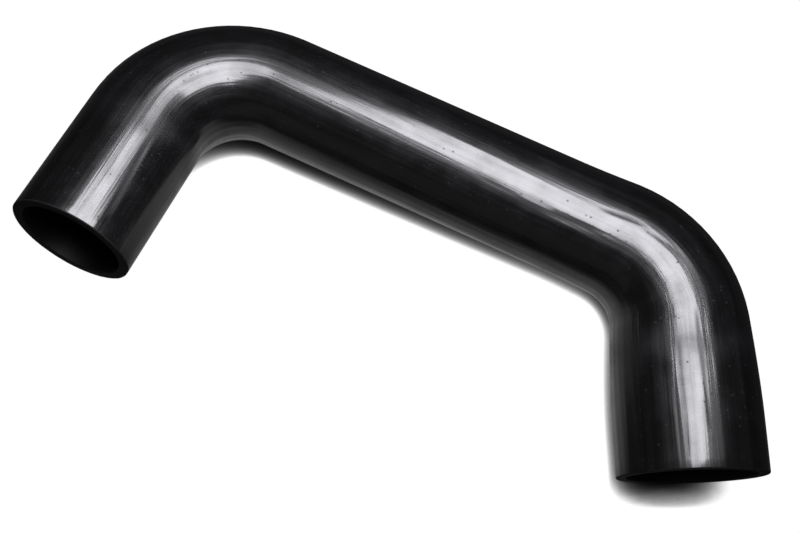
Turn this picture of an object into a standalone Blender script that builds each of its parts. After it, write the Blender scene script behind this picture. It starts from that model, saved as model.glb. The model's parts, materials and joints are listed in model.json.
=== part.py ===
"""Moulded rubber charge air hose.

One piece, open from end to end. The bore leaves the smaller mouth straight, turns through
a right angle, runs across, and turns back through an easier bend while it widens into the
straight cuff of the larger mouth. The second bend is rolled a little out of the plane of
the first. Metres, +Z up, lying on the ground as it comes to rest, with the run between the
bends along X and both mouths towards -Y.
"""

import math

import bmesh
import bpy
import numpy as np
from mathutils import Matrix, Vector

# Bore and wall
SMALL_MOUTH_BORE = 0.050
RUN_BORE = 0.047
LARGE_MOUTH_BORE = 0.060
WALL = 0.005
MOUTH_EDGE_RADIUS = 0.0007

# Centreline, from the smaller mouth to the larger one
SMALL_LEG = 0.070
SMALL_BEND_RADIUS = 0.051
SMALL_BEND_DEG = 91
MIDDLE_RUN = 0.180
ROLL_DEG = 11
LARGE_BEND_RADIUS = 0.051
LARGE_BEND_DEG = 64
LARGE_LEG = 0.070

# The bore widens over the second bend and these lengths of the straights beside it
FLARE_BEFORE_BEND = 0.030
FLARE_PAST_BEND = 0.047

# Fineness of the mesh
SIDES = 48
BEND_STEP_DEG = 6
STRAIGHT_STEP = 0.012
EDGE_SEGMENTS = 2
SHARP_ANGLE_DEG = 40
SLIVER_AREA = 1e-8

# Black rubber with the gloss of a wiped mould
RUBBER_COLOUR = (0.006, 0.006, 0.007, 1)
RUBBER_ROUGHNESS = 0.3

SMALL_BEND_LENGTH = SMALL_BEND_RADIUS * math.radians(SMALL_BEND_DEG)
LARGE_BEND_LENGTH = LARGE_BEND_RADIUS * math.radians(LARGE_BEND_DEG)
RUN_START = SMALL_LEG + SMALL_BEND_LENGTH
RUN_END = RUN_START + MIDDLE_RUN
FLARE_START = RUN_END - FLARE_BEFORE_BEND
FLARE_END = RUN_END + LARGE_BEND_LENGTH + FLARE_PAST_BEND


def clear_scene():
    for obj in list(bpy.data.objects):
        bpy.data.objects.remove(obj)


def straight(length, roll=0):
    """The steps of a straight: the length of each, and its move ahead along local X with its share of the roll."""
    count = math.ceil(length / STRAIGHT_STEP)
    ahead = Matrix.Translation((length / count, 0, 0))
    return [(length / count, ahead @ Matrix.Rotation(roll / count, 4, 'X'))] * count


def bend(radius, angle):
    """The steps of a bend to the right, each half its turn, then its chord, then the other half."""
    count = math.ceil(math.degrees(angle) / BEND_STEP_DEG)
    turn = angle / count
    half = Matrix.Rotation(-turn / 2, 4, 'Z')
    chord = Matrix.Translation((2 * radius * math.sin(turn / 2), 0, 0))
    return [(radius * turn, half @ chord @ half)] * count


def centreline():
    """Yields each station's frame, local X along the hose, and its distance from the smaller mouth."""
    steps = (straight(SMALL_LEG) + bend(SMALL_BEND_RADIUS, math.radians(SMALL_BEND_DEG))
             + straight(MIDDLE_RUN, math.radians(ROLL_DEG))
             + bend(LARGE_BEND_RADIUS, math.radians(LARGE_BEND_DEG)) + straight(LARGE_LEG))
    frame = Matrix.Rotation(math.radians(SMALL_BEND_DEG), 4, 'Z')
    distance = 0
    yield frame, distance
    for length, move in steps:
        frame = frame @ move
        distance += length
        yield frame, distance


def eased(distance, start, end):
    """How far a smooth change from start to end has gone at a distance, from 0 to 1."""
    share = min(max((distance - start) / (end - start), 0), 1)
    return share * share * (3 - 2 * share)


def bore_radius(distance):
    """Half the bore at a distance: it narrows through the first bend and widens through the second."""
    bore = SMALL_MOUTH_BORE
    bore += (RUN_BORE - SMALL_MOUTH_BORE) * eased(distance, SMALL_LEG, RUN_START)
    bore += (LARGE_MOUTH_BORE - RUN_BORE) * eased(distance, FLARE_START, FLARE_END)
    return bore / 2


def add_ring(bm, frame, radius):
    """Adds a circle square to the frame's X and returns its edges."""
    facing_x = frame @ Matrix.Rotation(math.radians(90), 4, 'Y')
    circle = bmesh.ops.create_circle(bm, segments=SIDES, radius=radius, matrix=facing_x)
    return list({edge for vert in circle["verts"] for edge in vert.link_edges})


def loft_outside(bm):
    """Lofts the outer skin from mouth to mouth through a circle at each station."""
    rings = [add_ring(bm, frame, bore_radius(distance) + WALL) for frame, distance in centreline()]
    for ring, following in zip(rings, rings[1:]):
        bmesh.ops.bridge_loops(bm, edges=ring + following)
    bmesh.ops.recalc_face_normals(bm, faces=bm.faces)


def thicken(bm):
    """Gives the skin its wall on the inside, which leaves the bore and a flat cut face at each mouth."""
    bmesh.ops.solidify(bm, geom=bm.faces, thickness=WALL)


def round_mouth_edges(bm):
    """Takes the sharp corner off the cut faces, inside and outside."""
    corners = [edge for edge in bm.edges if edge.calc_face_angle() > math.radians(SHARP_ANGLE_DEG)]
    bmesh.ops.bevel(bm, geom=corners, offset=MOUTH_EDGE_RADIUS, segments=EDGE_SEGMENTS, profile=0.5, affect='EDGES')


def mass_centre(bm):
    """The centre of the solid rubber, from the tetrahedra between each triangle and the origin."""
    corners = np.array([[loop.vert.co for loop in triangle] for triangle in bm.calc_loop_triangles()])
    volumes = np.einsum('ij,ij->i', corners[:, 0], np.cross(corners[:, 1], corners[:, 2]))
    return Vector(corners.sum(axis=1).T @ volumes / (4 * volumes.sum()))


def resting_turn(bm):
    """The turn onto the lower face of the convex hull over which the mass centre is lowest."""
    centre = mass_centre(bm)
    hull = bmesh.new()
    for vert in bm.verts:
        hull.verts.new(vert.co)
    bmesh.ops.convex_hull(hull, input=hull.verts)
    lower = [face for face in hull.faces if face.normal.z < -0.5 and face.calc_area() > SLIVER_AREA]
    rest = min(lower, key=lambda face: (face.verts[0].co - centre).dot(face.normal))
    turn = rest.normal.rotation_difference(Vector((0, 0, -1)))
    hull.free()
    return turn.to_matrix().to_4x4()


def stand_on_origin(bm):
    """Moves the mesh so that the middle of its box's lowest face is the origin."""
    places = np.array([vert.co for vert in bm.verts])
    low = places.min(axis=0)
    high = places.max(axis=0)
    foot = Vector(((low[0] + high[0]) / 2, (low[1] + high[1]) / 2, low[2]))
    bmesh.ops.translate(bm, verts=bm.verts, vec=-foot)


def rubber():
    material = bpy.data.materials.new("moulded_rubber")
    material.use_nodes = True
    shader = material.node_tree.nodes["Principled BSDF"]
    shader.inputs["Base Color"].default_value = RUBBER_COLOUR
    shader.inputs["Roughness"].default_value = RUBBER_ROUGHNESS
    return material


def build():
    clear_scene()
    bm = bmesh.new()
    loft_outside(bm)
    thicken(bm)
    round_mouth_edges(bm)
    bm.transform(resting_turn(bm))
    stand_on_origin(bm)
    mesh = bpy.data.meshes.new("charge_air_hose")
    bm.to_mesh(mesh)
    bm.free()
    mesh.shade_smooth()
    mesh.set_sharp_from_angle(angle=math.radians(SHARP_ANGLE_DEG))
    mesh.materials.append(rubber())
    hose = bpy.data.objects.new("charge_air_hose", mesh)
    bpy.context.scene.collection.objects.link(hose)


build()
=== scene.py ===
"""Charge air hose of black moulded rubber, lying on a pale studio floor."""

import json
import math

import bpy
import numpy as np
from bpy.props import FloatProperty, FloatVectorProperty, IntProperty, PointerProperty
from mathutils import Euler, Matrix, Quaternion, Vector


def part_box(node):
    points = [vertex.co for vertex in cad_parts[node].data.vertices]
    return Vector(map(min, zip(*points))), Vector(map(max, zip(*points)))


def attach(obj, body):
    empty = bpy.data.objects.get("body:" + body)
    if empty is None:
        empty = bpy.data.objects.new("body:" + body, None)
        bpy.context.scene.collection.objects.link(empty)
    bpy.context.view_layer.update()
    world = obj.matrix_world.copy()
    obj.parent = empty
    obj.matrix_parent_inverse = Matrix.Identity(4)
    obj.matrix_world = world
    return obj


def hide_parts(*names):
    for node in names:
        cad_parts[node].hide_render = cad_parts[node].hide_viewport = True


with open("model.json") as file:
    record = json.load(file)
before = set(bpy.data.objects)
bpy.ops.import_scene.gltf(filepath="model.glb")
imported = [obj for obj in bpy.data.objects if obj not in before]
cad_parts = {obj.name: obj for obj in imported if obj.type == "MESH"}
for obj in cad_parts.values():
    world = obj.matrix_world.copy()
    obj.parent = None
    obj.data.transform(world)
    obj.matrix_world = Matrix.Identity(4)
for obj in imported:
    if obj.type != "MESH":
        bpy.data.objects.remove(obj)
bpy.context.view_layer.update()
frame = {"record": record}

bl_info = {
    "name": "Charge air hose",
    "version": (1, 0, 0),
    "blender": (4, 5, 0),
    "location": "View3D > Sidebar > Air hose",
    "description": "A moulded rubber charge air hose with two bends, and its studio stage",
    "category": "Add Mesh",
}

NODE = "charge_air_hose"
BODY = "root"
MM = 0.001

# Fineness of the hose's mesh
SIDES = 400
SKIN_STEP = 3.8 * MM
BORE_STEP = 9 * MM
EDGE_STEPS = 4
CUT_STEPS = 4

# Material slots of the hose's mesh
SKIN, CUT, BORE = range(3)

# Distance within which a point still counts as past the start of a stretch
SLACK = 1e-9

# Shallow flats in the skin: waves round the hose, and the least and greatest length over which each fades
FLAT_WAVES = (7, 11, 14, 17, 23, 29, 31, 38, 44)
FLAT_FADES = (0.11, 0.3)

# How a wave of the flats weakens with its number: (main / number) to this power
FLAT_MAIN = 14
FLAT_POWER = 0.7

# Sideways drift of each wave, in radians, and its length as a multiple of the fade's
FLAT_DRIFT = 0.35
FLAT_DRIFT_LENGTH = 2.3

# Sum of the waves at which the skin reaches its full height
FLAT_FULL = 3

# Lengthwise lines that the mould left, in millimetres and degrees: from and to along the hose, angle
# round it at both, half width and depth
DRAW_LINES = (
    (8, 54, 127, 120, 1.3, 0.16),
    (84, 118, 113, 113, 0.9, 0.06),
    (256, 284, 113, 114, 1.0, 0.07),
    (294, 324, 115, 112, 1.6, 0.18),
    (316, 342, 91, 85, 1.2, 0.15),
    (338, 364, 92, 84, 1.2, 0.10),
    (384, 444, 92, 90, 0.9, 0.12),
    (398, 456, 107, 107, 1.2, 0.10),
    (420, 458, 113, 112, 0.9, 0.08),
)

# Length over which a draw line fades at each end
LINE_RUN_OUT = 8 * MM

# Places where the skin is duller: before the first bend's start and past the second one's end, each
# with the angle round the hose at which it is dullest
DULL_BEFORE = 10 * MM
DULL_PAST = 14 * MM
DULL_LENGTH = 6 * MM
DULLEST = (math.radians(150), math.radians(100))

# Each dull ring's share of bloom half way round, and how it wavers: how far, how often and from where
RING_BLOOM = 0.25
RING_WAVER = 2 * MM
RING_WAVES = 5
RING_PHASE = 1.3

# Depth of a draw line at which the bloom in it is full
DULL_DEPTH = 0.16 * MM

# Patterns in the rubber: size of each, and how far the drawn-out ones are stretched along the hose
MARK_SIZE = 1.5 * MM
STREAK_SIZE = 4 * MM
GRAIN_SIZE = 1.1 * MM
PATCH_SIZE = 16 * MM
BORE_MARK_SIZE = 1.2 * MM
CUT_GRAIN_SIZE = 0.9 * MM
SKIN_STRETCH = 40
BORE_STRETCH = 20

# Heights of the patterns in the surface
GRAIN_HEIGHT = 0.005 * MM
BORE_MARK_HEIGHT = 0.03 * MM
CUT_GRAIN_HEIGHT = 0.05 * MM

# Specks: size of the cells that may hold one, where its edge fades, in cells from its middle, and the
# limit above which a cell holds one
SPECK_CELL = 3 * MM
SPECK_EDGE = (0.1, 0.22)
SPECK_LIMIT = 0.31

# Patches of bloom: heights of the noise at which they start and are full, and how dull they get
PATCH_EDGE = (0.42, 0.7)
PATCH_BLOOM = 0.6

# Change of the skin's roughness where it is clean and where the bloom is full, and the gloss that a
# full bloom leaves
CLEAN_CHANGE = -0.08
BLOOM_CHANGE = 0.24
GLOSS_LEFT = 0.3

# Refraction of the skin and its gloss, roughness of that gloss, and refraction of the bare rubber
SKIN_IOR = 1.6
COAT_ROUGHNESS = 0.14
RUBBER_IOR = 1.52

# Roughness of the bore, from low to high, and the heights of its marks at which the two are reached
BORE_ROUGHNESS = (0.5, 0.65)
BORE_MARK_EDGE = (0.3, 0.7)

# Direction in which the floor looks for the hose, so that its painted shadow and painted glow lie on the
# hose's side away from the lamp, and how many rays it looks with
FLOOR_LOOKS = (0.2, 0.88, 0.43)
FLOOR_RAYS = 16

# Painted shadow in the floor's glow where the hose meets it: how far it reaches and how fast it deepens
PAINTED_SHADE_REACH = 12 * MM
PAINTED_SHADE_POWER = 8

# Painted glow on the floor close in front of the hose, seen only in the hose's gloss as a painted
# reflection: its share and how far it reaches
PAINTED_GLOW_SHARE = 0.45
PAINTED_GLOW_REACH = 95 * MM


def linear(colour):
    """Linear red, green, blue and alpha of an sRGB colour written as #rrggbb."""
    channels = np.array([int(colour[i:i + 2], 16) for i in (1, 3, 5)]) / 255
    low = channels / 12.92
    high = ((channels + 0.055) / 1.055) ** 2.4
    return (*np.where(channels <= 0.04045, low, high).tolist(), 1)


# Sizes and colours a user may change

class HoseSizes(bpy.types.PropertyGroup):
    """Sizes of the hose, the same as the solid's"""

    small_mouth_bore: FloatProperty(
        name="Small mouth bore", description="Bore at the smaller mouth", default=50 * MM, unit='LENGTH')
    run_bore: FloatProperty(
        name="Run bore", description="Bore of the run between the bends", default=47 * MM, unit='LENGTH')
    large_mouth_bore: FloatProperty(
        name="Large mouth bore", description="Bore at the larger mouth", default=60 * MM, unit='LENGTH')
    wall: FloatProperty(
        name="Wall", description="Thickness of the rubber", default=5 * MM, unit='LENGTH')
    edge_radius: FloatProperty(
        name="Edge radius", description="Rounding of each mouth's edges", default=0.7 * MM, unit='LENGTH')
    small_leg: FloatProperty(
        name="Small leg", description="Straight behind the smaller mouth", default=70 * MM, unit='LENGTH')
    small_bend_radius: FloatProperty(
        name="Small bend radius", description="Centreline radius of the first bend", default=51 * MM,
        unit='LENGTH')
    small_bend: FloatProperty(
        name="Small bend", description="Turn of the first bend", default=math.radians(91), subtype='ANGLE')
    middle_run: FloatProperty(
        name="Middle run", description="Straight between the bends", default=180 * MM, unit='LENGTH')
    roll: FloatProperty(
        name="Roll", description="Twist of the second bend out of the first one's plane",
        default=math.radians(11), subtype='ANGLE')
    large_bend_radius: FloatProperty(
        name="Large bend radius", description="Centreline radius of the second bend", default=51 * MM,
        unit='LENGTH')
    large_bend: FloatProperty(
        name="Large bend", description="Turn of the second bend", default=math.radians(64),
        subtype='ANGLE')
    large_leg: FloatProperty(
        name="Large leg", description="Straight behind the larger mouth", default=70 * MM, unit='LENGTH')
    flare_before: FloatProperty(
        name="Flare before bend", description="Length of the run over which the bore already widens",
        default=30 * MM, unit='LENGTH')
    flare_past: FloatProperty(
        name="Flare past bend", description="Length of the large leg over which the bore still widens",
        default=47 * MM, unit='LENGTH')


class RubberFinish(bpy.types.PropertyGroup):
    """Look of the rubber"""

    black: FloatVectorProperty(
        name="Black", description="Colour of the clean outer skin", default=linear("#09090a")[:3],
        size=3, min=0, max=1, subtype='COLOR')
    bloom: FloatVectorProperty(
        name="Bloom", description="Colour of the skin where it has a dull bloom",
        default=linear("#121215")[:3], size=3, min=0, max=1, subtype='COLOR')
    roughness: FloatProperty(
        name="Roughness", description="Roughness of the outer skin under its gloss", default=0.36,
        min=0, max=1, subtype='FACTOR')
    flats: FloatProperty(
        name="Flats", description="Depth of the shallow lengthwise flats in the skin",
        default=0.10 * MM, min=0, unit='LENGTH')
    draw_marks: FloatProperty(
        name="Draw marks", description="Depth of the fine lengthwise marks in the skin",
        default=0.08 * MM, min=0, unit='LENGTH')
    seed: IntProperty(
        name="Seed", description="Start of the random draws for the flats", default=7)


class StudioStage(bpy.types.PropertyGroup):
    """Light and floor around the hose"""

    key_strength: FloatProperty(
        name="Key light", description="What the soft light adds to a white floor, where 1 is white",
        default=1.08, min=0)
    fill_radiance: FloatProperty(
        name="Fill light", description="Brightness of the faint light in front of the hose", default=0.04,
        min=0)
    surround: FloatProperty(
        name="Surround", description="Brightness of the dim studio around the floor", default=0.02,
        min=0)


# Small tools for shapes and materials

def eased(distance, start, end):
    """Smooth step 3t^2 - 2t^3, where t is the share of the way from start to end."""
    share = np.clip((distance - start) / (end - start), 0, 1)
    return share * share * (3 - 2 * share)


def add_node(tree, kind, inputs=(), **settings):
    """Adds a node with its settings, and sets or links each of its inputs."""
    node = tree.nodes.new(kind)
    for name, value in settings.items():
        setattr(node, name, value)
    for name, value in dict(inputs).items():
        if isinstance(value, bpy.types.NodeSocket):
            tree.links.new(value, node.inputs[name])
        else:
            node.inputs[name].default_value = value
    return node


def new_material(name):
    """An empty node material of that name."""
    material = bpy.data.materials.new(name)
    material.use_nodes = True
    material.node_tree.nodes.clear()
    return material


# Shape of the hose

def stretches(sizes):
    """Length, right turn and roll of each stretch of the centreline, from the smaller mouth."""
    return [
        (sizes.small_leg, 0, 0),
        (sizes.small_bend_radius * sizes.small_bend, sizes.small_bend, 0),
        (sizes.middle_run, 0, sizes.roll),
        (sizes.large_bend_radius * sizes.large_bend, sizes.large_bend, 0),
        (sizes.large_leg, 0, 0),
    ]


def turn_arrays(axis, angles):
    """Stack of 3 x 3 turns about X or Z by each angle."""
    cosine = np.cos(angles)
    sine = np.sin(angles)
    turns = np.zeros((*np.shape(angles), 3, 3))
    fixed, first, second = {'X': (0, 1, 2), 'Z': (2, 0, 1)}[axis]
    turns[..., fixed, fixed] = 1
    turns[..., first, first] = cosine
    turns[..., second, second] = cosine
    turns[..., first, second] = -sine
    turns[..., second, first] = sine
    return turns


def centreline(distance, sizes):
    """Points and axes of the centreline at each distance from the smaller mouth.

    Along a stretch of total turn T and length L, after d metres the heading has turned by
    p = T d / L to the right, and the point has moved d sin(p) / p ahead and d (1 - cos p) / p
    to the right. For a straight, p is 0 and the point has moved d ahead. The roll grows evenly.
    """
    points = np.zeros((len(distance), 3))
    axes = np.zeros((len(distance), 3, 3))
    start = 0
    place = np.zeros(3)
    facing = turn_arrays('Z', np.array(sizes.small_bend))
    for length, turn, roll in stretches(sizes):
        inside = distance >= start - SLACK
        ahead = np.append(distance[inside] - start, length)
        angle = turn * ahead / length
        ahead_right = np.stack([
            ahead * np.sinc(angle / np.pi),
            -ahead * np.sin(angle / 2) * np.sinc(angle / (2 * np.pi)),
            0 * ahead,
        ], axis=1)
        moved = place + ahead_right @ facing.T
        turned = facing @ turn_arrays('Z', -angle) @ turn_arrays('X', roll * ahead / length)
        points[inside] = moved[:-1]
        axes[inside] = turned[:-1]
        place = moved[-1]
        facing = turned[-1]
        start += length
    return points, axes


def bore_radius(distance, sizes):
    """Half the bore: it narrows over the first bend and widens over the second one."""
    lengths = np.cumsum([0] + [length for length, turn, roll in stretches(sizes)])
    bore = sizes.small_mouth_bore
    bore = bore + (sizes.run_bore - sizes.small_mouth_bore) * eased(distance, lengths[1], lengths[2])
    flare = eased(distance, lengths[3] - sizes.flare_before, lengths[4] + sizes.flare_past)
    return (bore + (sizes.large_mouth_bore - sizes.run_bore) * flare) / 2


def wall_profile(sizes):
    """The wall's section as a closed loop: distance along, height above the bore, and slot.

    It runs up the outer skin, over the large mouth's cut face, back through the bore, and over
    the small mouth's cut face. Each corner is a quarter circle of the edge radius.
    """
    total = sum(length for length, turn, roll in stretches(sizes))
    radius = sizes.edge_radius
    wall = sizes.wall
    quarter = np.linspace(0, np.pi / 2, EDGE_STEPS + 1)
    skin = np.linspace(radius, total - radius, round(total / SKIN_STEP))
    bore = np.linspace(total - radius, radius, round(total / BORE_STEP))
    cut = np.linspace(wall - radius, radius, CUT_STEPS + 1)[1:-1]
    corner_out = radius * np.sin(quarter[1:])
    corner_down = radius * (1 - np.cos(quarter[1:]))
    parts = [
        (skin, wall + 0 * skin, SKIN),
        (total - radius + corner_out, wall - corner_down, CUT),
        (total + 0 * cut, cut, CUT),
        (total - corner_down, radius - corner_out, CUT),
        (bore[1:], 0 * bore[1:], BORE),
        (radius - corner_out, corner_down, CUT),
        (0 * cut, cut[::-1], CUT),
        (corner_down, wall - radius + corner_out, CUT),
    ]
    along = np.concatenate([part[0] for part in parts])
    height = np.concatenate([part[1] for part in parts])
    slots = np.concatenate([np.full(len(part[0]), part[2]) for part in parts])
    return along[:-1], height[:-1], slots[:-1]


def flats_relief(along, around, finish):
    """Height of the shallow flats at each distance and angle, 0 or less.

    A sum of waves round the hose, (m / n)^k cos(n a + p), with n whole, so that they close up. Each
    fades in and out along the hose as 0.5 + 0.5 cos(2 pi s / l + q), and drifts sideways a little.
    """
    draws = np.random.default_rng(finish.seed)
    relief = 0
    for number in FLAT_WAVES:
        phase, fade_phase, drift_phase = draws.uniform(0, 2 * np.pi, 3)
        length = draws.uniform(*FLAT_FADES)
        fade = 0.5 + 0.5 * np.cos(2 * np.pi * along / length + fade_phase)
        drift = FLAT_DRIFT * np.sin(2 * np.pi * along / (FLAT_DRIFT_LENGTH * length) + drift_phase)
        wave = np.cos(number * around + phase + drift)
        relief = relief + fade * wave * (FLAT_MAIN / number) ** FLAT_POWER
    return finish.flats * np.minimum(relief / FLAT_FULL - 1, 0)


def line_relief(along, around, radius):
    """Height of the draw lines at each distance and angle, 0 or less.

    Each line is a groove -d exp(-(r x / w)^2), where x is the angle from the line, and it runs out
    smoothly at both ends.
    """
    relief = 0
    for start, end, first, last, width, depth in DRAW_LINES:
        share = np.clip((along / MM - start) / (end - start), 0, 1)
        middle = np.radians(first + (last - first) * share)
        away = radius * ((around - middle + np.pi) % (2 * np.pi) - np.pi)
        begun = eased(along, start * MM, start * MM + LINE_RUN_OUT)
        ended = eased(along, end * MM - LINE_RUN_OUT, end * MM)
        relief = relief - depth * MM * begun * (1 - ended) * np.exp(-(away / (width * MM)) ** 2)
    return relief


def dull_bands(along, around, sizes):
    """How dull the skin is at each distance and angle, from 0 to 1: a soft ring in each leg, by its bend.

    Each ring is exp(-((s - c) / w)^2), where its middle c wavers round the hose, times
    h + h cos(a - b), where h is its share half way round and b the angle at which it is dullest.
    """
    lengths = np.cumsum([length for length, turn, roll in stretches(sizes)])
    dull = 0
    for middle, dullest in zip((lengths[0] - DULL_BEFORE, lengths[3] + DULL_PAST), DULLEST):
        waver = RING_WAVER * np.sin(RING_WAVES * around + RING_PHASE)
        ring = np.exp(-((along - middle - waver) / DULL_LENGTH) ** 2)
        dull = dull + ring * (RING_BLOOM + RING_BLOOM * np.cos(around - dullest))
    return dull


def hose_points(sizes, finish):
    """The hose's points on a grid of profile points by sides, before it is laid down.

    With them come the points of the hose bent straight, how dull each is, and the rows' slots.

    Point (i, j) is C(s) + r (cos a Y(s) + sin a Z(s)), where C, Y and Z are the centreline's
    point and cross axes at the distance s of profile point i, r is its radius, and a = 2 pi j /
    sides. On the outer skin the relief of the flats and draw lines is added to r.
    """
    along, height, slots = wall_profile(sizes)
    around = 2 * np.pi * np.arange(SIDES) / SIDES
    points, axes = centreline(np.clip(along, 0, None), sizes)
    radius = (bore_radius(along, sizes) + height)[:, None] + 0 * around
    share = (height / sizes.wall)[:, None] ** 2
    lines = line_relief(along[:, None], around, radius)
    dulled = dull_bands(along[:, None], around, sizes) - lines / DULL_DEPTH
    radius = radius + share * (flats_relief(along[:, None], around, finish) + lines)
    across = np.cos(around)[:, None] * axes[:, None, :, 1] + np.sin(around)[:, None] * axes[:, None, :, 2]
    grid = points[:, None, :] + radius[..., None] * across
    straightened = np.stack([
        np.broadcast_to(along[:, None], radius.shape),
        radius * np.cos(around),
        radius * np.sin(around),
    ], axis=2)
    return grid, straightened, dulled, slots


def laid_down(grid, sizes):
    """Turns the grid so that both mouths face as the record's mounts do, and sets it in its box.

    The turn takes the two mouths' own axes and their cross product to the record's.
    """
    mounts = {mount["name"]: Vector(mount["axis"]) for mount in frame["record"]["mounts"]}
    total = sum(length for length, turn, roll in stretches(sizes))
    axes = centreline(np.array([0, total]), sizes)[1]
    own = [Vector(-axes[0, :, 0]), Vector(axes[1, :, 0])]
    laid = [mounts["small_mouth"], mounts["large_mouth"]]
    turn = triad(*laid) @ triad(*own).transposed()
    turned = grid @ np.array(turn).T
    low, high = (np.array(corner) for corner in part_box(NODE))
    grid_low = turned.min(axis=(0, 1))
    grid_high = turned.max(axis=(0, 1))
    shift = (low + high) / 2 - (grid_low + grid_high) / 2
    return turned + shift


def triad(first, second):
    """Three square axes: the sum of two directions, their difference and the normal of both."""
    middle = (first + second).normalized()
    normal = first.cross(second).normalized()
    return Matrix((middle, normal.cross(middle), normal)).transposed()


def grid_mesh(name, grid, straightened, dulled, slots):
    """A closed mesh from a grid whose two directions both close up, with faces outwards."""
    rows, columns = grid.shape[:2]
    here = np.arange(rows * columns).reshape(rows, columns)
    beside = np.roll(here, -1, axis=1)
    corners = np.stack([here, beside, np.roll(beside, -1, axis=0), np.roll(here, -1, axis=0)], axis=2)
    mesh = bpy.data.meshes.new(name)
    mesh.vertices.add(rows * columns)
    mesh.loops.add(4 * rows * columns)
    mesh.polygons.add(rows * columns)
    mesh.vertices.foreach_set("co", grid.astype(np.float32).ravel())
    mesh.loops.foreach_set("vertex_index", corners.ravel())
    mesh.polygons.foreach_set("loop_start", 4 * np.arange(rows * columns))
    mesh.polygons.foreach_set("material_index", np.repeat(slots, columns))
    mesh.update(calc_edges=True)
    lay = mesh.attributes.new("straightened", 'FLOAT_VECTOR', 'POINT')
    lay.data.foreach_set("vector", straightened.astype(np.float32).ravel())
    dull = mesh.attributes.new("dulled", 'FLOAT', 'POINT')
    dull.data.foreach_set("value", dulled.astype(np.float32).ravel())
    unrolled = mesh.uv_layers.new(name="unrolled")
    row, column = np.meshgrid(np.arange(rows), np.arange(columns), indexing='ij')
    across = np.stack([column, column + 1, column + 1, column], axis=2) / columns
    down = np.stack([row, row, row + 1, row + 1], axis=2) / rows
    unrolled.uv.foreach_set("vector", np.stack([down, across], axis=3).astype(np.float32).ravel())
    mesh.shade_smooth()
    mesh.validate()
    return mesh


# Materials

def noise(tree, position, size, detail, roughness=0.5):
    """Soft noise from 0 to 1, with a grain of that size in metres and that much finer detail in it."""
    return add_node(tree, "ShaderNodeTexNoise",
                    {"Vector": position, "Scale": 1 / size, "Detail": detail,
                     "Roughness": roughness}).outputs["Fac"]


def maths(tree, operation, *values, **settings):
    """The result of a sum on numbers or sockets."""
    return add_node(tree, "ShaderNodeMath", enumerate(values), operation=operation, **settings).outputs[0]


def mapped(tree, value, low, high, start=0, end=1, **settings):
    """A value taken from start ... end to low ... high, and held there beyond them."""
    return add_node(tree, "ShaderNodeMapRange",
                    {"Value": value, "From Min": start, "From Max": end, "To Min": low, "To Max": high},
                    **settings).outputs["Result"]


def stretched(tree, position, times):
    """Positions for a pattern that is drawn out that many times along the hose."""
    return add_node(tree, "ShaderNodeMapping", {"Vector": position, "Scale": (1 / times, 1, 1)}).outputs[0]


def bumped(tree, height, distance):
    """The surface's normal with a bump of that height, from 0 to 1, and full depth in metres."""
    return add_node(tree, "ShaderNodeBump",
                    {"Height": height, "Strength": 1, "Distance": distance}).outputs["Normal"]


def set_surface(tree, inputs):
    """Ends a tree with a principled surface."""
    shader = add_node(tree, "ShaderNodeBsdfPrincipled", inputs)
    add_node(tree, "ShaderNodeOutputMaterial", {"Surface": shader.outputs["BSDF"]})


def skin_rubber(finish):
    """EPDM rubber, cured in a mould and wiped: near black, with a clear gloss over a softer one.

    Fine marks run along it as it was drawn off the mould, so the soft light breaks into streaks.
    A dull bloom takes the gloss off in patches, in rings, in the draw lines and in small specks.
    """
    material = new_material("EPDM rubber, mould cured")
    tree = material.node_tree
    position = add_node(tree, "ShaderNodeAttribute", attribute_name="straightened").outputs["Vector"]
    dulled = add_node(tree, "ShaderNodeAttribute", attribute_name="dulled").outputs["Fac"]

    # Marks and streaks drawn out along the hose, and an even grain
    drawn = stretched(tree, position, SKIN_STRETCH)
    marks = noise(tree, drawn, MARK_SIZE, detail=2, roughness=0.55)
    streaks = noise(tree, drawn, STREAK_SIZE, detail=3, roughness=0.6)
    grain = noise(tree, position, GRAIN_SIZE, detail=2)

    # Specks in rows, in the cells whose random tone and streak are high
    cells = add_node(tree, "ShaderNodeTexVoronoi", {"Vector": position, "Scale": 1 / SPECK_CELL})
    chosen = maths(tree, 'MULTIPLY', cells.outputs["Color"], streaks)
    kept = maths(tree, 'GREATER_THAN', chosen, SPECK_LIMIT)
    speck = mapped(tree, cells.outputs["Distance"], kept, 0, *SPECK_EDGE, interpolation_type='SMOOTHSTEP')

    # Bloom in patches and streaks, where the mesh is dulled, and in the specks
    patches = noise(tree, position, PATCH_SIZE, detail=3, roughness=0.6)
    mixed = add_node(tree, "ShaderNodeMix", {"Factor": 0.5, "A": streaks, "B": patches})
    patchy = mapped(tree, mixed.outputs["Result"], 0, PATCH_BLOOM, *PATCH_EDGE)
    dull = maths(tree, 'ADD', maths(tree, 'ADD', dulled, patchy), speck, use_clamp=True)
    tone = add_node(tree, "ShaderNodeMix",
                    {"Factor": dull, "A": (*finish.black, 1), "B": (*finish.bloom, 1)}, data_type='RGBA')

    # Heights in millimetres, of the marks and the grain
    marked = maths(tree, 'MULTIPLY', marks, finish.draw_marks / MM)
    height = maths(tree, 'MULTIPLY_ADD', grain, GRAIN_HEIGHT / MM, marked)
    normal = bumped(tree, height, 1 * MM)
    set_surface(tree, {
        "Base Color": tone.outputs[2],
        "Roughness": mapped(tree, dull, finish.roughness + CLEAN_CHANGE, finish.roughness + BLOOM_CHANGE),
        "IOR": SKIN_IOR,
        "Coat Weight": mapped(tree, dull, 1, GLOSS_LEFT),
        "Coat Roughness": COAT_ROUGHNESS,
        "Coat IOR": SKIN_IOR,
        "Normal": normal,
        "Coat Normal": normal,
    })
    return material


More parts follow.
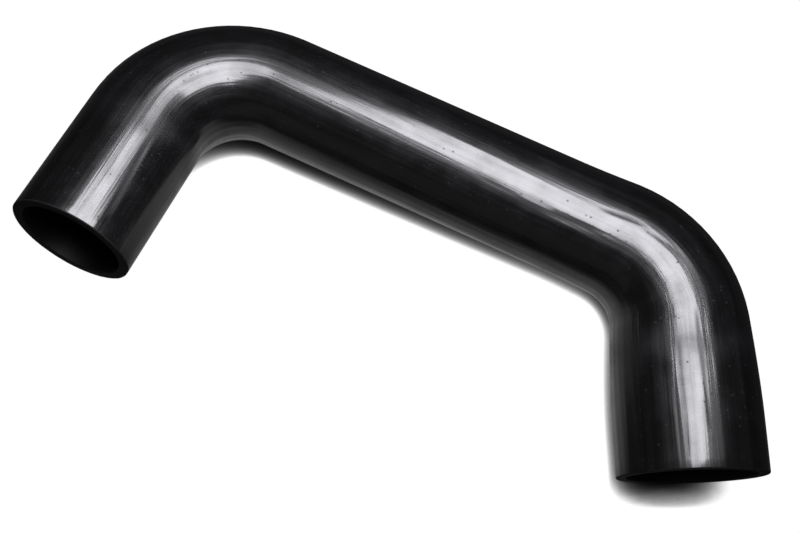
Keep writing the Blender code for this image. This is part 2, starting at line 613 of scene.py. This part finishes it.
def cut_rubber():
    """EPDM rubber, cut square with a knife: matt and a shade greyer, with the fine grain of the cut."""
    material = new_material("EPDM rubber, knife cut")
    tree = material.node_tree
    position = add_node(tree, "ShaderNodeTexCoord").outputs["Object"]
    grain = noise(tree, position, CUT_GRAIN_SIZE, detail=3, roughness=0.6)
    tone = add_node(tree, "ShaderNodeValToRGB", {"Fac": grain})
    tone.color_ramp.elements[0].position = 0.35
    tone.color_ramp.elements[0].color = linear("#0e0e0f")
    tone.color_ramp.elements[1].position = 0.7
    tone.color_ramp.elements[1].color = linear("#161617")
    set_surface(tree, {
        "Base Color": tone.outputs["Color"],
        "Roughness": 0.7,
        "IOR": RUBBER_IOR,
        "Normal": bumped(tree, grain, CUT_GRAIN_HEIGHT),
    })
    return material


def bore_rubber():
    """EPDM rubber, left by the mandrel: satin black, with fine marks drawn along the bore."""
    material = new_material("EPDM rubber, mandrel side")
    tree = material.node_tree
    position = add_node(tree, "ShaderNodeAttribute", attribute_name="straightened").outputs["Vector"]
    marks = noise(tree, stretched(tree, position, BORE_STRETCH), BORE_MARK_SIZE, detail=2)
    set_surface(tree, {
        "Base Color": linear("#080809"),
        "Roughness": mapped(tree, marks, *BORE_ROUGHNESS, *BORE_MARK_EDGE),
        "IOR": RUBBER_IOR,
        "Normal": bumped(tree, marks, BORE_MARK_HEIGHT),
    })
    return material


def openness(tree, reach):
    """Share of what the floor sees within reach that is free of the hose, from 0 to 1."""
    looks = add_node(tree, "ShaderNodeCombineXYZ", enumerate(FLOOR_LOOKS)).outputs[0]
    return add_node(tree, "ShaderNodeAmbientOcclusion", {"Distance": reach, "Normal": looks},
                    samples=FLOOR_RAYS).outputs["AO"]


def board_with_painted_light():
    """Matt dark board, which a glow lifts to white in what the eye sees.

    The glow is darkened close to the hose on its side away from the lamp. This is a painted shadow, drawn
    from how much of the hose the floor sees. Gloss and glass see the board, and see a painted glow only
    close in front of the hose, which shows as a painted reflection in its flank.
    """
    material = new_material("Matt board, glow with painted shadow and painted reflection")
    tree = material.node_tree
    path = add_node(tree, "ShaderNodeLightPath").outputs
    # Painted glow close in front of the hose, which only the hose's gloss sees: a painted reflection in
    # its flank
    painted_glow_near = mapped(tree, openness(tree, PAINTED_GLOW_REACH), PAINTED_GLOW_SHARE, 0)
    in_gloss = maths(tree, 'MAXIMUM', path["Is Glossy Ray"], path["Is Transmission Ray"])
    seen = maths(tree, 'MULTIPLY_ADD', in_gloss, painted_glow_near, path["Is Camera Ray"])
    # Painted shadow: the floor's glow is darkened where the floor sees the hose within reach, on the side
    # away from the lamp
    painted_shadow_factor = maths(tree, 'POWER', openness(tree, PAINTED_SHADE_REACH), PAINTED_SHADE_POWER)
    glow = add_node(tree, "ShaderNodeEmission",
                    {"Color": linear("#ffffff"), "Strength": maths(tree, 'MULTIPLY', painted_shadow_factor, seen)})
    board = add_node(tree, "ShaderNodeBsdfDiffuse", {"Color": linear("#282828")})
    both = add_node(tree, "ShaderNodeAddShader", {0: board.outputs[0], 1: glow.outputs[0]})
    add_node(tree, "ShaderNodeOutputMaterial", {"Surface": both.outputs[0]})
    return material


# Pieces and stage

class MakeHose(bpy.types.Operator):
    """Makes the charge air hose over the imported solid, in moulded rubber"""

    bl_idname = "air_hose.make_hose"
    bl_label = "Make the hose"

    def execute(self, context):
        sizes = context.scene.hose_sizes
        finish = context.scene.rubber_finish
        grid, straightened, dulled, slots = hose_points(sizes, finish)
        mesh = grid_mesh("air_hose", laid_down(grid, sizes), straightened, dulled, slots)
        for material in (skin_rubber(finish), cut_rubber(), bore_rubber()):
            mesh.materials.append(material)
        hose = bpy.data.objects.new("air_hose", mesh)
        context.scene.collection.objects.link(hose)
        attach(hose, BODY)
        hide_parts(NODE)
        return {'FINISHED'}


class SetStage(bpy.types.Operator):
    """Sets the floor, the lights, the dim surround and the camera"""

    bl_idname = "air_hose.set_stage"
    bl_label = "Set the stage"

    # Half the floor's side
    FLOOR_HALF = 30

    # Key softbox: its place, its tilt and turn out of the level, and its sides
    KEY_PLACE = Vector((-0.024, 0.147, 0.602))
    KEY_TILT = math.radians(17.6)
    KEY_TURN = math.radians(-25)
    KEY_SIZE = (0.46, 0.4)

    # Gridded softbox: its place, the point it is aimed at, its roll, its sides and its spread
    GRID_PLACE = Vector((0.024, 0.417, 0.6))
    GRID_AIM = Vector((-0.154, -0.01, 0.07))
    GRID_ROLL = math.radians(7.4)
    GRID_SIZE = (0.32, 0.13)
    GRID_SPREAD = math.radians(31)

    # Colour of both softboxes
    SOFTBOX_COLOUR = "#f9f9ff"

    # Fill light: its place and its sides
    FILL_PLACE = Vector((0, -0.9, 0.27))
    FILL_SIZE = (2, 0.5)

    # Camera: its place, the point it is aimed at, its roll, its lens and sensor in millimetres, and the
    # distance from which on it sees
    CAMERA_PLACE = Vector((0.02911, -0.15223, 0.54541))
    CAMERA_AIM = Vector((-0.0119, -0.0106, 0.0330))
    CAMERA_ROLL = math.radians(9.57)
    CAMERA_LENS = 49.5
    CAMERA_SENSOR = 36
    CAMERA_CLIP = 0.01

    def execute(self, context):
        stage = context.scene.studio_stage
        self.lay_floor(context)
        self.hang_softboxes(context, stage)
        self.stand_fill(context, stage)
        self.dim_surround(context, stage)
        self.place_camera(context)
        context.scene.view_settings.view_transform = 'Standard'
        return {'FINISHED'}

    def lay_floor(self, context):
        half = self.FLOOR_HALF
        mesh = bpy.data.meshes.new("floor")
        mesh.from_pydata([(-half, -half, 0), (half, -half, 0), (half, half, 0), (-half, half, 0)],
                         [], [(0, 1, 2, 3)])
        mesh.materials.append(board_with_painted_light())
        floor = bpy.data.objects.new("floor", mesh)
        context.scene.collection.objects.link(floor)

    def add_lamp(self, context, name, place, turn, size, radiance, colour, spread=math.pi):
        """An area light of radiance L and area A that fades to nothing at a, half its spread.

        Blender's watts for it are pi A L (1 - a / tan a), which is pi A L at the full spread.
        """
        lamp = bpy.data.lights.new(name, 'AREA')
        lamp.shape = 'RECTANGLE'
        lamp.size, lamp.size_y = size
        lamp.spread = spread
        lamp.energy = math.pi * size[0] * size[1] * radiance * (1 - spread / 2 / math.tan(spread / 2))
        lamp.color = linear(colour)[:3]
        light = bpy.data.objects.new(name, lamp)
        light.location = place
        light.rotation_mode = 'QUATERNION'
        light.rotation_quaternion = turn
        context.scene.collection.objects.link(light)

    def hang_softboxes(self, context, stage):
        """The key softbox, and a small one as bright behind a honeycomb grid, aimed at the small leg.

        With radiance L and area A, at a distance d, the key adds L A cos(e) cos(f) / (pi d^2) to a
        white floor at the hose, where the light leaves it at the angle e and lands at the angle f.
        """
        turn = Euler((0, self.KEY_TILT, self.KEY_TURN), 'ZYX').to_quaternion()
        ahead = turn @ Vector((0, 0, -1))
        to_hose = -self.KEY_PLACE
        leaving = ahead.dot(to_hose.normalized())
        landing = -to_hose.normalized().z
        seen_area = self.KEY_SIZE[0] * self.KEY_SIZE[1] * leaving * landing
        radiance = stage.key_strength * math.pi * to_hose.length_squared / seen_area
        self.add_lamp(context, "key softbox", self.KEY_PLACE, turn, self.KEY_SIZE, radiance,
                      self.SOFTBOX_COLOUR)
        aim = (self.GRID_AIM - self.GRID_PLACE).to_track_quat('-Z', 'Y')
        turn = aim @ Quaternion((0, 0, 1), self.GRID_ROLL)
        self.add_lamp(context, "gridded softbox", self.GRID_PLACE, turn, self.GRID_SIZE, radiance,
                      self.SOFTBOX_COLOUR, self.GRID_SPREAD)

    def stand_fill(self, context, stage):
        """A faint upright light in front of the hose, which its flank mirrors."""
        turn = Quaternion((1, 0, 0), math.radians(90))
        self.add_lamp(context, "fill light", self.FILL_PLACE, turn, self.FILL_SIZE, stage.fill_radiance,
                      "#ffffff")

    def dim_surround(self, context, stage):
        world = bpy.data.worlds.new("dim studio")
        world.use_nodes = True
        background = world.node_tree.nodes["Background"]
        background.inputs["Color"].default_value = linear("#ffffff")
        background.inputs["Strength"].default_value = stage.surround
        context.scene.world = world

    def place_camera(self, context):
        camera = bpy.data.objects.new("camera", bpy.data.cameras.new("camera"))
        camera.data.lens = self.CAMERA_LENS
        camera.data.sensor_width = self.CAMERA_SENSOR
        camera.data.clip_start = self.CAMERA_CLIP
        camera.location = self.CAMERA_PLACE
        aim = (self.CAMERA_AIM - self.CAMERA_PLACE).to_track_quat('-Z', 'Y')
        camera.rotation_mode = 'QUATERNION'
        camera.rotation_quaternion = aim @ Quaternion((0, 0, 1), self.CAMERA_ROLL)
        context.scene.collection.objects.link(camera)
        context.scene.camera = camera


class HosePanel(bpy.types.Panel):
    """Sizes, finish and stage of the air hose"""

    bl_idname = "VIEW3D_PT_air_hose"
    bl_label = "Charge air hose"
    bl_space_type = 'VIEW_3D'
    bl_region_type = 'UI'
    bl_category = "Air hose"

    def draw(self, context):
        for group in (context.scene.hose_sizes, context.scene.rubber_finish, context.scene.studio_stage):
            box = self.layout.box()
            for name in group.__annotations__:
                box.prop(group, name)
        self.layout.operator(MakeHose.bl_idname)
        self.layout.operator(SetStage.bl_idname)


CLASSES = (HoseSizes, RubberFinish, StudioStage, MakeHose, SetStage, HosePanel)


def register():
    for cls in CLASSES:
        bpy.utils.register_class(cls)
    bpy.types.Scene.hose_sizes = PointerProperty(type=HoseSizes)
    bpy.types.Scene.rubber_finish = PointerProperty(type=RubberFinish)
    bpy.types.Scene.studio_stage = PointerProperty(type=StudioStage)


def unregister():
    del bpy.types.Scene.studio_stage
    del bpy.types.Scene.rubber_finish
    del bpy.types.Scene.hose_sizes
    for cls in reversed(CLASSES):
        bpy.utils.unregister_class(cls)


def main():
    register()
    bpy.ops.air_hose.set_stage()
    bpy.ops.air_hose.make_hose()


if __name__ == "__main__":
    main()
